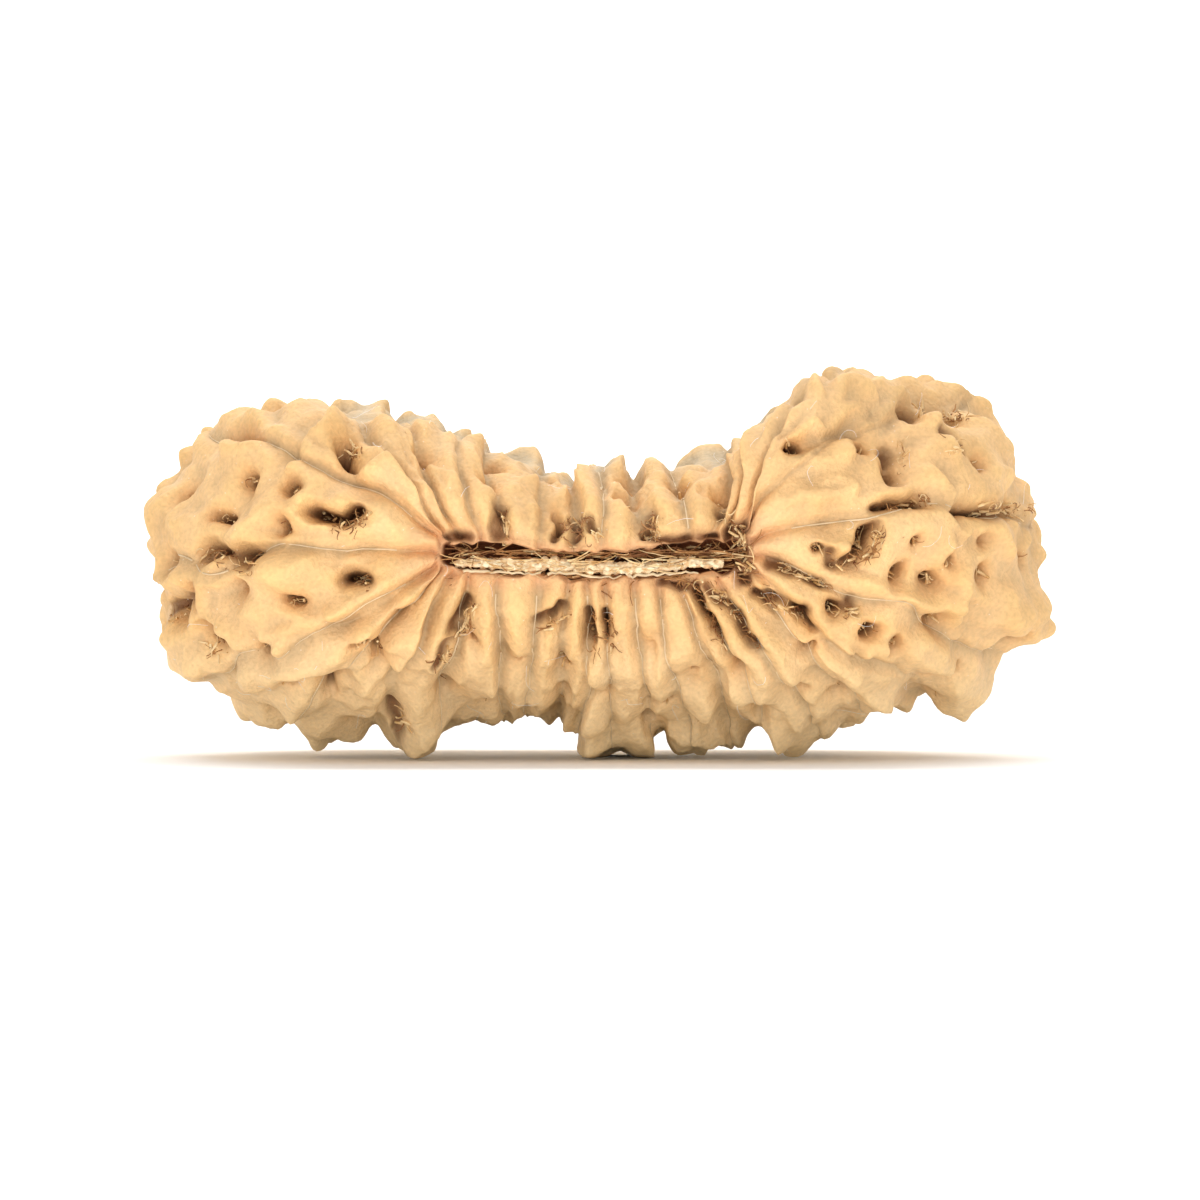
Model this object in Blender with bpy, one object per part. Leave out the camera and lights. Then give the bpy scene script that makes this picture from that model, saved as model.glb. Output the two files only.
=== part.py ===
"""A many-faced rudraksha bead, the dry woody stone of one fruit, lying on its broad side.

Its two poles are long slits, one at the front (-Y) and one at the back (+Y). Furrows run round the bead
from one slit to the other. Between them stand lobes, which break into warts and pits towards the rim.
The furrows, pits and warts of the front are set where the front view shows them. The rest of the bead
carries the same kinds of relief, strewn by a seeded rule. Lengths are in millimetres until the last step.
"""
import math
import random

import bpy
import numpy as np
from mathutils import Matrix, Vector, noise

BEAD_LENGTH = 38.0
LIP_TO_LIP = 19.8
PIXEL = BEAD_LENGTH / 912
MIDDLE_COLUMN = 600
RESTING_ROW = 757

# Each furrow in the front view, in pixels of the photograph: where it leaves the slit, its halfway point, and
# where it goes over the rim. They start above the left end of the slit and go round through the left knob.
FURROWS = (
    ((458, 545), (340, 472), (219, 438)),
    ((457, 552), (300, 552), (160, 578)),
    ((455, 558), (328, 632), (215, 678)),
    ((457, 563), (385, 645), (291, 719)),
    ((462, 568), (424, 650), (377, 719)),
    ((478, 573), (464, 650), (447, 716)),
    ((507, 574), (507, 647), (510, 712)),
    ((548, 575), (542, 650), (530, 712)),
    ((577, 576), (570, 650), (563, 714)),
    ((593, 577), (594, 650), (588, 724)),
    ((612, 577), (614, 665), (618, 730)),
    ((638, 577), (643, 655), (659, 718)),
    ((660, 577), (674, 660), (698, 733)),
    ((678, 577), (710, 655), (735, 722)),
    ((697, 576), (737, 665), (783, 715)),
    ((718, 573), (770, 662), (830, 718)),
    ((738, 568), (808, 652), (876, 712)),
    ((746, 562), (840, 643), (928, 686)),
    ((749, 556), (868, 594), (998, 650)),
    ((749, 548), (900, 510), (1044, 524)),
    ((747, 544), (820, 450), (964, 403)),
    ((741, 542), (785, 425), (857, 387)),
    ((733, 541), (750, 460), (792, 416)),
    ((718, 541), (728, 490), (740, 458)),
    ((692, 542), (687, 495), (676, 470)),
    ((642, 545), (645, 505), (640, 474)),
    ((608, 547), (609, 503), (609, 472)),
    ((578, 548), (580, 512), (580, 480)),
    ((546, 548), (551, 507), (548, 470)),
    ((515, 547), (503, 485), (494, 450)),
    ((492, 546), (468, 478), (457, 429)),
    ((473, 545), (432, 470), (400, 424)),
    ((463, 545), (400, 460), (340, 404)),
)
SLIT_LEFT, SLIT_RIGHT, SLIT_ROW = 464, 740, 559

# Pits of the front, as strokes: the pixels they run between and their half width.
PITS = (
    (258, 475, 258, 475, 10), (299, 490, 299, 490, 8), (214, 517, 232, 517, 6), (297, 518, 297, 532, 5),
    (328, 513, 350, 525, 6), (350, 525, 372, 510, 6), (208, 552, 262, 560, 7), (362, 577, 374, 577, 7),
    (248, 596, 248, 596, 7), (175, 560, 175, 560, 7), (198, 590, 200, 606, 6), (184, 618, 192, 618, 7),
    (217, 634, 227, 646, 9), (273, 658, 273, 658, 7), (298, 598, 312, 598, 5), (297, 683, 297, 683, 6),
    (345, 680, 345, 696, 7), (369, 713, 369, 713, 6), (407, 618, 407, 618, 5), (390, 650, 390, 660, 5),
    (366, 645, 378, 645, 6), (404, 702, 404, 702, 6), (355, 440, 362, 458, 9), (290, 410, 290, 410, 6),
    (235, 438, 265, 438, 5), (432, 462, 432, 462, 5), (483, 636, 483, 636, 5), (864, 445, 864, 445, 8),
    (896, 450, 899, 470, 6), (916, 415, 916, 415, 9), (945, 422, 962, 418, 9), (977, 463, 977, 463, 8),
    (918, 496, 918, 496, 7), (882, 508, 922, 505, 5), (972, 509, 1004, 508, 5), (1025, 508, 1025, 508, 8),
    (917, 548, 917, 548, 7), (998, 542, 998, 542, 7), (956, 565, 956, 565, 6), (903, 577, 903, 577, 8),
    (942, 585, 942, 585, 7), (990, 582, 990, 582, 8), (817, 550, 817, 550, 6), (845, 560, 865, 550, 5),
    (865, 550, 875, 532, 5), (835, 608, 835, 608, 6), (866, 632, 866, 632, 9), (900, 645, 900, 645, 8),
    (942, 627, 942, 627, 8), (1006, 625, 1006, 625, 6), (930, 672, 930, 672, 6), (955, 662, 955, 662, 6),
    (803, 685, 803, 685, 6), (843, 693, 843, 693, 7), (815, 648, 815, 648, 7), (740, 672, 740, 672, 7),
    (765, 718, 765, 718, 6), (723, 490, 723, 490, 7), (795, 452, 795, 452, 8), (650, 524, 650, 538, 5),
    (613, 614, 613, 640, 4), (593, 616, 593, 645, 4), (566, 606, 562, 624, 4), (570, 672, 570, 672, 5),
)

# Warts, crests and folds of the front, as strokes: pixels, half width, and height in millimetres.
WARTS = (
    (245, 412, 250, 414, 11, 0.7), (276, 400, 284, 402, 11, 0.8), (306, 398, 310, 398, 10, 0.7),
    (330, 398, 332, 402, 9, 0.6), (352, 404, 352, 404, 9, 0.7), (388, 410, 388, 410, 9, 0.6),
    (412, 408, 412, 408, 9, 0.6), (437, 420, 437, 420, 9, 0.6), (217, 432, 217, 432, 10, 0.7),
    (188, 460, 188, 460, 11, 0.8), (174, 488, 174, 488, 11, 0.7), (156, 545, 156, 545, 11, 0.6),
    (350, 425, 335, 437, 8, 0.7), (265, 425, 290, 435, 9, 0.5), (240, 452, 268, 447, 8, 0.5),
    (300, 470, 330, 480, 9, 0.5), (420, 577, 380, 602, 10, 0.7), (380, 602, 345, 613, 10, 0.7),
    (250, 572, 300, 572, 11, 0.4), (178, 590, 178, 590, 10, 0.6), (215, 660, 215, 660, 11, 0.6),
    (240, 683, 240, 683, 11, 0.4), (268, 714, 268, 714, 11, 0.4), (302, 705, 302, 705, 10, 0.5),
    (330, 728, 330, 728, 11, 0.7), (300, 655, 300, 655, 11, 0.4), (330, 690, 330, 690, 9, 0.4),
    (375, 690, 375, 690, 10, 0.5), (500, 585, 504, 610, 8, 0.5), (504, 610, 484, 636, 8, 0.5),
    (925, 380, 929, 382, 12, 1.0), (902, 378, 902, 378, 9, 0.6), (838, 382, 840, 380, 9, 0.8),
    (853, 380, 853, 380, 9, 0.7), (805, 392, 815, 402, 10, 0.8), (790, 420, 790, 422, 10, 0.7),
    (767, 430, 765, 432, 10, 0.7), (868, 402, 868, 402, 10, 0.6), (905, 400, 884, 412, 8, 0.6),
    (958, 398, 984, 408, 11, 0.8), (832, 545, 846, 546, 11, 0.8), (765, 515, 800, 503, 8, 0.5),
    (800, 503, 850, 490, 8, 0.5), (762, 482, 800, 466, 8, 0.5), (800, 466, 850, 458, 8, 0.5),
    (960, 500, 960, 500, 9, 0.4), (962, 618, 950, 604, 9, 0.6), (1010, 480, 1010, 480, 11, 0.6),
    (930, 643, 950, 643, 9, 0.5), (1000, 604, 1000, 604, 11, 0.5), (1040, 486, 1040, 486, 11, 0.7),
    (1044, 556, 1044, 556, 11, 0.6), (1030, 622, 1030, 622, 10, 0.7), (985, 670, 985, 670, 11, 0.6),
    (960, 690, 960, 690, 11, 0.7), (905, 700, 905, 700, 10, 0.6), (870, 712, 870, 712, 10, 0.6),
    (692, 450, 722, 450, 12, 0.6), (567, 468, 567, 468, 9, 0.4), (625, 464, 625, 464, 9, 0.5),
    (657, 466, 657, 466, 9, 0.4),
)

# The low points that it rests on: turn among the furrows, way from slit to slit, half width and height.
FEET = ((4.4, 0.455, 1.4, 1.85), (9.7, 0.58, 1.15, 1.85), (10.5, 0.60, 1.4, 1.8), (14.5, 0.45, 1.4, 1.95))
NEARLY_FLAT = 0.05

# The slit is a groove with a thin woody tongue standing in it: shares of its half width, and depths.
SLIT_STEPS = ((0.30, 0.25), (0.40, 1.0), (0.78, 1.1), (1.0, 0.3))

# The form without relief: a rounded section from slit to slit, fuller on the knobs, whose rim lies this far
# from the slit or further, than at the waist. The bead leans back a little on its feet.
KNOB_BULGE = 1.8
WAIST_REACH, KNOB_REACH = 6.0, 10.0
FULLNESS = 2.2
TIPPED_BACK = math.radians(1.5)

# The relief: how far lobes, the net between the pits and the pits go out and in, and where it fades away.
SUNK = 0.5
LOBE_RISE, LOBE_EASE = 0.42, 0.6
NET_RISE, NET_EASE = 0.5, 0.6
PIT_DEPTH, PIT_STEEPNESS = 1.1, 5
WART_SHARPNESS = 1.5
PLAIN_LOBE, CLOSED_LOBE = 1.3, 0.8
SWIRL, SWIRL_SIZE = 0.35, 1.6

# What is strewn: spacing, way from slit to slit, half widths and heights.
PIT_SPACING, WART_SPACING = 2.3, 1.27
STREWN_FROM, STREWN_TO = 0.16, 0.9
PIT_HALF_WIDTHS = (0.2, 0.42)
WART_HALF_WIDTHS = (0.3, 0.5)
WART_HEIGHTS = (0.3, 0.9)
SEED = 21
SWIRL_SEED = 1795826528

COLUMNS, RINGS = 300, 130
TRIANGLES = 11400
PALE_WOOD = (0.72, 0.47, 0.22, 1)


def front_view(points):
    """Pixels of the photograph as X and Z over the resting plane."""
    pixels = np.asarray(points, float)
    return np.stack([pixels[..., 0] - MIDDLE_COLUMN, RESTING_ROW - pixels[..., 1]], axis=-1) * PIXEL


def round_the_bead(table, turn):
    """A smooth closed curve through the rows of table; turn counts furrows."""
    row = np.floor(turn).astype(int)
    part = (turn - row)[:, None]
    a, b, c, d = (table[(row + step) % len(table)] for step in (-1, 0, 1, 2))
    return b + 0.5 * part * (c - a + part * (2 * a - 5 * b + 4 * c - d + part * (3 * (b - c) + d - a)))


FURROW_POINTS = front_view(FURROWS)
SLIT_FRONT, HALFWAY, RIM = FURROW_POINTS[:, 0], FURROW_POINTS[:, 1], FURROW_POINTS[:, 2]
SLIT_CENTRE = front_view(((SLIT_LEFT + SLIT_RIGHT) / 2, SLIT_ROW))
SLIT_BACK = SLIT_CENTRE + 0.85 * (SLIT_FRONT - SLIT_CENTRE)


def across(turn, reach, back):
    """X and Z of a point on the meridian at turn; reach is 0 at the slit and 1 at the rim."""
    slit = np.where(back[:, None], round_the_bead(SLIT_BACK, turn), round_the_bead(SLIT_FRONT, turn))
    rim = round_the_bead(RIM, turn)
    bend = 2 * round_the_bead(HALFWAY, turn) - (round_the_bead(SLIT_FRONT, turn) + rim) / 2
    near = (1 - reach)[:, None]
    far = reach[:, None]
    return near * near * slit + 2 * near * far * bend + far * far * rim


def reach_of(along):
    """How far out a point is, from 0 at either slit to 1 at the rim halfway between them."""
    return np.sin(along * math.pi).clip(0, 1) ** (2 / FULLNESS)


def lobe_width(turn, along):
    """The distance between the furrows on both sides of a point."""
    left = np.floor(turn)
    gap = across(left + 1, reach_of(along), along > 0.5) - across(left, reach_of(along), along > 0.5)
    return np.linalg.norm(gap, axis=1)


def knob_share(turn):
    """0 at the waist and 1 where the rim is far from the slit, as on the knobs."""
    spread = np.linalg.norm(round_the_bead(RIM, turn) - round_the_bead(SLIT_FRONT, turn), axis=1)
    share = np.clip((spread - WAIST_REACH) / (KNOB_REACH - WAIST_REACH), 0, 1)
    return share * share * (3 - 2 * share)


def bare_surface(turn, along):
    """The bead without relief. along is 0 at the front lips, 0.5 at the rim and 1 at the back lips."""
    reach = reach_of(along)
    pole = np.abs(np.cos(along * math.pi)) ** (2 / FULLNESS)
    depth = LIP_TO_LIP / 2 * pole + KNOB_BULGE * knob_share(turn) * reach * (1 - reach * reach)
    flat = across(turn, reach, along > 0.5)
    return np.stack([flat[:, 0], np.where(along > 0.5, depth, -depth), flat[:, 1]], axis=1)


def slit_surface(turn, step, back):
    """The groove inside the lips, from its tongue (step 0) out to the lip (step 3)."""
    share, depth = (np.array(column)[step] for column in zip(*SLIT_STEPS))
    lip = bare_surface(turn, back.astype(float))
    ends = front_view(((SLIT_LEFT, SLIT_ROW), (SLIT_RIGHT, SLIT_ROW)))
    middle = lip.copy()
    middle[:, 0] = np.clip(lip[:, 0], ends[0, 0], ends[1, 0])
    middle[:, 2] = ends[0, 1]
    point = middle + share[:, None] * (lip - middle)
    point[:, 1] -= np.sign(lip[:, 1]) * (depth + SUNK)
    return point


def even_turns(count):
    """Turns that space the columns evenly, both halfway out and at the rim."""
    fine = np.linspace(0, len(FURROWS), 4000, endpoint=False)
    steps = 0
    for along in (0.2, 0.5):
        loop = bare_surface(fine, np.full(len(fine), along))
        steps = steps + np.linalg.norm(np.roll(loop, -1, axis=0) - loop, axis=1)
    travelled = np.concatenate([[0], np.cumsum(steps)])
    return np.interp(np.arange(count) / count * travelled[-1], travelled, np.append(fine, len(FURROWS)))


def on_the_front(face, pixels):
    """The points of the front face that are seen at these pixels."""
    return [face[np.argmin(((face[:, ::2] - place) ** 2).sum(axis=1))] for place in front_view(pixels)]


def strewn(draw, taken, spacing, tries):
    """Points strewn over the bead beyond the front's middle, none closer together than the spacing."""
    taken = list(taken)
    first = len(taken)
    turns = even_turns(2000)
    for _ in range(tries):
        turn = np.array([turns[draw.randrange(2000)]])
        along = np.array([draw.uniform(STREWN_FROM, STREWN_TO)])
        point = bare_surface(turn, along)[0]
        room = spacing * (0.65 + 0.35 * min(1.0, lobe_width(turn, along)[0] / 2))
        if np.linalg.norm(np.array(taken) - point, axis=1).min() > room:
            taken.append(point)
    return taken[first:]


def from_stroke(points, start, end):
    """The distance of each point from the stroke between start and end."""
    run = end - start
    share = np.clip(((points - start) @ run) / max(run @ run, 1e-9), 0, 1)
    return np.linalg.norm(points - start - share[:, None] * run, axis=1)


def pits_and_warts():
    """Every pit and wart: the two ends of its stroke, its half width and, for a wart, its height."""
    draw = random.Random(SEED)
    face = bare_surface(np.repeat(even_turns(400), 70), np.tile(np.linspace(0.01, 0.5, 70), 400))
    pits = []
    for x0, y0, x1, y1, half_width in PITS:
        pits.append((*on_the_front(face, ((x0, y0), (x1, y1))), half_width * PIXEL))
    warts = []
    for x0, y0, x1, y1, half_width, height in WARTS:
        warts.append((*on_the_front(face, ((x0, y0), (x1, y1))), half_width * PIXEL, height))
    placed = [end for stroke in pits + warts for end in stroke[:2]]
    for point in strewn(draw, placed, PIT_SPACING, 3000):
        pits.append((point, point, draw.uniform(*PIT_HALF_WIDTHS)))
    placed = [end for stroke in pits + warts for end in stroke[:2]]
    for point in strewn(draw, placed, WART_SPACING, 5000):
        warts.append((point, point, draw.uniform(*WART_HALF_WIDTHS), draw.uniform(*WART_HEIGHTS)))
    for turn, along, half_width, height in FEET:
        point = bare_surface(np.array([turn]), np.array([along]))[0]
        warts.append((point, point, half_width, height))
    return pits, warts


def relief(bare, turn, along, from_lip):
    """How far each point stands out of the bare surface: lobes, a net of ridges, warts and pits.

    The whole surface is sunk a little, so that the relief stands about as much out of the bare one as in.
    """
    pits, warts = pits_and_warts()
    width = lobe_width(turn, along)
    part = turn - np.floor(turn)
    from_furrow = 2 * np.minimum(part, 1 - part)
    lobe = LOBE_RISE * width / (1 + LOBE_EASE * width) * (1 - (1 - from_furrow) ** 2)

    noise.seed_set(SWIRL_SEED)
    points = bare + SWIRL * np.array([noise.noise_vector(Vector(point / SWIRL_SIZE)) for point in bare])
    from_pit = np.full(len(points), BEAD_LENGTH)
    carved = np.zeros(len(points))
    for start, end, half_width in pits:
        distance = from_stroke(points, start, end)
        from_pit = np.minimum(from_pit, distance - half_width)
        depth = min(1.0, half_width / PIT_HALF_WIDTHS[1])
        carved = np.maximum(carved, depth / (1 + (distance / half_width) ** PIT_STEEPNESS))
    raised = np.zeros(len(points))
    for start, end, half_width, height in warts:
        distance = from_stroke(points, start, end) / half_width
        raised = np.maximum(raised, height * np.exp(-(distance**WART_SHARPNESS)))
    net = NET_RISE * (1 - np.exp(-np.maximum(from_pit, 0) / NET_EASE))
    room = np.clip(width / PLAIN_LOBE, 0, 1) * np.clip(reach_of(along) * 3 - 0.3, 0, 1)
    carved *= PIT_DEPTH * np.clip(width / CLOSED_LOBE, 0, 1)
    return (lobe + (net + raised) * room - carved) * np.clip(from_lip / 3, 0, 1) - SUNK


def dry_wood():
    wood = bpy.data.materials.new("pale dry bead wood")
    wood.use_nodes = True
    surface = wood.node_tree.nodes["Principled BSDF"]
    surface.inputs["Base Color"].default_value = PALE_WOOD
    surface.inputs["Roughness"].default_value = 0.6
    surface.inputs["Metallic"].default_value = 0
    wood.diffuse_color = PALE_WOOD
    return wood


def make_bead(shelf):
    """The whole stone: a sphere with its meridians bent from slit to slit, then raised into lobes and warts."""
    bpy.ops.mesh.primitive_uv_sphere_add(segments=COLUMNS, ring_count=RINGS, radius=1)
    bead = bpy.context.object
    bead.name = "rudraksha_bead"
    bead.users_collection[0].objects.unlink(bead)
    shelf.objects.link(bead)
    mesh = bead.data
    ball = np.empty(len(mesh.vertices) * 3)
    mesh.vertices.foreach_get("co", ball)
    ball = ball.reshape(-1, 3)
    ring = np.round(np.arccos(ball[:, 2].clip(-1, 1)) / math.pi * RINGS).astype(int)
    column = np.round(np.arctan2(ball[:, 1], ball[:, 0]) / (2 * math.pi) * COLUMNS).astype(int) % COLUMNS
    turn = even_turns(COLUMNS)[column]
    from_pole = np.minimum(ring, RINGS - ring)
    steps = len(SLIT_STEPS)
    along = ((ring - steps) / (RINGS - 2 * steps)).clip(0, 1)
    inside = from_pole <= steps

    bare = bare_surface(turn, along)
    points = bare.copy()
    points[inside] = slit_surface(turn[inside], (from_pole[inside] - 1).clip(0), ring[inside] > RINGS / 2)
    pole = from_pole == 0
    points[pole, 0] = SLIT_CENTRE[0]
    points[pole, 2] = SLIT_CENTRE[1]
    mesh.vertices.foreach_set("co", points.ravel())
    mesh.update()
    normals = np.empty(len(points) * 3)
    mesh.vertices.foreach_get("normal", normals)
    normals = normals.reshape(-1, 3)
    outwards = np.sign((normals * (points - points.mean(axis=0))).sum())

    outside = ~inside
    rise = relief(bare[outside], turn[outside], along[outside], from_pole[outside] - steps)
    points[outside] += normals[outside] * outwards * rise[:, None]
    mesh.vertices.foreach_set("co", points.ravel())
    if outwards < 0:
        mesh.flip_normals()
    mesh.transform(Matrix.Rotation(-TIPPED_BACK, 4, "X"))
    return bead


def wear_flat(mesh):
    """The low points are worn off flat at the resting plane."""
    for vertex in mesh.vertices:
        if vertex.co.z < NEARLY_FLAT:
            vertex.co.z = 0


def set_down(mesh):
    """Full length, centred over the origin, and standing on Z 0."""
    corners = np.array([vertex.co for vertex in mesh.vertices])
    low, high = corners.min(axis=0), corners.max(axis=0)
    mesh.transform(Matrix.Translation((-(low[0] + high[0]) / 2, -(low[1] + high[1]) / 2, -low[2])))
    mesh.transform(Matrix.Scale(BEAD_LENGTH / (high[0] - low[0]) * 0.001, 4))


def thin_out(bead):
    """Fewer triangles where the surface is plain, more at the warts and pits."""
    thin = bead.modifiers.new("thin", "DECIMATE")
    thin.ratio = TRIANGLES / (2 * COLUMNS * (RINGS - 1))
    bpy.ops.object.modifier_apply(modifier=thin.name)


def main():
    for old in list(bpy.data.objects):
        bpy.data.objects.remove(old)
    shelf = bpy.data.collections.new("rudraksha bead")
    bpy.context.scene.collection.children.link(shelf)
    bead = make_bead(shelf)
    wear_flat(bead.data)
    thin_out(bead)
    wear_flat(bead.data)
    set_down(bead.data)
    bead.data.materials.append(dry_wood())


main()
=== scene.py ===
"""The finished look of a dry, many-faced rudraksha bead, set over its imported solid."""
import math
import random

import bpy
import numpy as np
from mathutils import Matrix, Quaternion, Vector, noise


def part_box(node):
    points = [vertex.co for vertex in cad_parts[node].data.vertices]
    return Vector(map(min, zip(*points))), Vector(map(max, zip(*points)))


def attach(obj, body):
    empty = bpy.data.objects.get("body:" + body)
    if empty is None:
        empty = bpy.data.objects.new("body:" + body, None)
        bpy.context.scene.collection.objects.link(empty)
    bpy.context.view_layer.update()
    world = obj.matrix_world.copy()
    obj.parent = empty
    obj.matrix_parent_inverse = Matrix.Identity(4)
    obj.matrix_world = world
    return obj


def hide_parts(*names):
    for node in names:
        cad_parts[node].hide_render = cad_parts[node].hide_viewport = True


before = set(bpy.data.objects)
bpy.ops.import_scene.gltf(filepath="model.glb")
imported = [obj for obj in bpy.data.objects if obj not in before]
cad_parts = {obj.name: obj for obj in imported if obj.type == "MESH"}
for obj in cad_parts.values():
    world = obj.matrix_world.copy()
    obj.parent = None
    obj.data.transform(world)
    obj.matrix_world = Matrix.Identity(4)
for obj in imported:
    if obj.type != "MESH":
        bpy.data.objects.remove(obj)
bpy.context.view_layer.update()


# The stone of the fruit. It is one piece of dense pale wood, drawn out between two slits, and furrows run
# from slit to slit between its lobes. It dried as it lay in the fruit, so every edge is soft, as if melted.
# All its sizes are in millimetres until it is fitted to the box of the solid that it stands for.
BEAD_LENGTH = 38.0
LIP_TO_LIP = 19.8

# The photograph in pixels: its width and height, the bead's length in it, and the row that the bead rests on.
PHOTO_SIZE = 1200
BEAD_PIXELS = 912
RESTING_ROW = 757
PIXEL = BEAD_LENGTH / BEAD_PIXELS

# Each furrow in the front view, in pixels of the photograph: where it leaves the slit, its halfway point, and
# where it goes over the rim. They start above the left end of the slit and go round through the left knob.
FURROWS = (
    ((458, 545), (340, 472), (219, 438)),
    ((457, 552), (300, 552), (160, 578)),
    ((455, 558), (328, 632), (215, 678)),
    ((457, 563), (385, 645), (291, 719)),
    ((462, 568), (424, 650), (377, 719)),
    ((478, 573), (464, 650), (447, 716)),
    ((507, 574), (507, 647), (510, 712)),
    ((548, 575), (542, 650), (530, 712)),
    ((577, 576), (570, 650), (563, 714)),
    ((593, 577), (594, 650), (588, 724)),
    ((612, 577), (614, 665), (618, 730)),
    ((638, 577), (643, 655), (659, 718)),
    ((660, 577), (674, 660), (698, 733)),
    ((678, 577), (710, 655), (735, 722)),
    ((697, 576), (737, 665), (783, 715)),
    ((718, 573), (770, 662), (830, 718)),
    ((738, 568), (808, 652), (876, 712)),
    ((746, 562), (840, 643), (928, 686)),
    ((749, 556), (868, 594), (998, 650)),
    ((749, 548), (900, 510), (1044, 524)),
    ((747, 544), (820, 450), (964, 403)),
    ((741, 542), (785, 425), (857, 387)),
    ((733, 541), (750, 460), (792, 416)),
    ((718, 541), (728, 490), (740, 458)),
    ((692, 543), (687, 495), (676, 470)),
    ((642, 550), (645, 505), (640, 474)),
    ((608, 554), (609, 503), (609, 472)),
    ((578, 553), (580, 512), (580, 480)),
    ((546, 550), (551, 507), (548, 470)),
    ((515, 547), (503, 485), (494, 450)),
    ((492, 546), (468, 478), (457, 429)),
    ((473, 545), (432, 470), (400, 424)),
    ((463, 545), (400, 460), (340, 404)),
)
SLIT_LEFT, SLIT_RIGHT, SLIT_ROW = 464, 740, 559

# Pits of the front, as strokes: the pixels they run between and their half width.
PITS = (
    (258, 475, 258, 475, 10), (299, 490, 299, 490, 8), (214, 517, 232, 517, 6), (297, 518, 297, 532, 5),
    (328, 513, 350, 525, 6), (350, 525, 372, 510, 6), (208, 552, 262, 560, 7), (362, 577, 374, 577, 7),
    (248, 596, 248, 596, 6), (175, 560, 175, 560, 7), (198, 590, 200, 606, 6), (184, 618, 192, 618, 7),
    (217, 634, 227, 646, 9), (273, 658, 273, 658, 7), (298, 598, 312, 598, 5), (297, 683, 297, 683, 6),
    (345, 680, 345, 696, 7), (369, 713, 369, 713, 6), (407, 618, 407, 618, 4), (390, 650, 390, 660, 5),
    (366, 645, 378, 645, 6), (404, 702, 404, 702, 6), (355, 440, 362, 458, 9), (290, 410, 290, 410, 6),
    (235, 438, 265, 438, 4), (432, 462, 432, 462, 5), (483, 636, 483, 636, 5), (864, 445, 864, 445, 7),
    (896, 450, 899, 470, 6), (916, 415, 916, 415, 8), (945, 422, 962, 418, 9), (977, 463, 977, 463, 8),
    (918, 496, 918, 496, 7), (882, 508, 922, 505, 5), (972, 509, 1004, 508, 5), (1025, 508, 1025, 508, 8),
    (917, 548, 917, 548, 7), (998, 542, 998, 542, 7), (956, 565, 956, 565, 6), (903, 577, 903, 577, 8),
    (942, 585, 942, 585, 7), (990, 582, 990, 582, 8), (817, 550, 817, 550, 6), (845, 560, 865, 550, 5),
    (865, 550, 875, 532, 5), (835, 608, 835, 608, 6), (866, 632, 866, 632, 9), (900, 645, 900, 645, 8),
    (942, 627, 942, 627, 8), (1006, 625, 1006, 625, 6), (930, 672, 930, 672, 6), (955, 662, 955, 662, 6),
    (803, 685, 803, 685, 6), (843, 693, 843, 693, 7), (815, 648, 815, 648, 7), (740, 672, 740, 672, 7),
    (765, 718, 765, 718, 6), (723, 490, 723, 490, 7), (795, 452, 795, 452, 8), (650, 524, 650, 538, 5),
    (613, 614, 613, 640, 4), (593, 616, 593, 645, 4), (566, 606, 562, 624, 4), (570, 672, 570, 672, 5),
    (700, 590, 722, 640, 4), (770, 590, 800, 610, 4), (790, 610, 812, 628, 4), (652, 643, 652, 643, 4),
    (563, 508, 563, 522, 3), (528, 663, 528, 663, 4), (566, 693, 566, 693, 4), (702, 671, 702, 683, 4),
)

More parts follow.
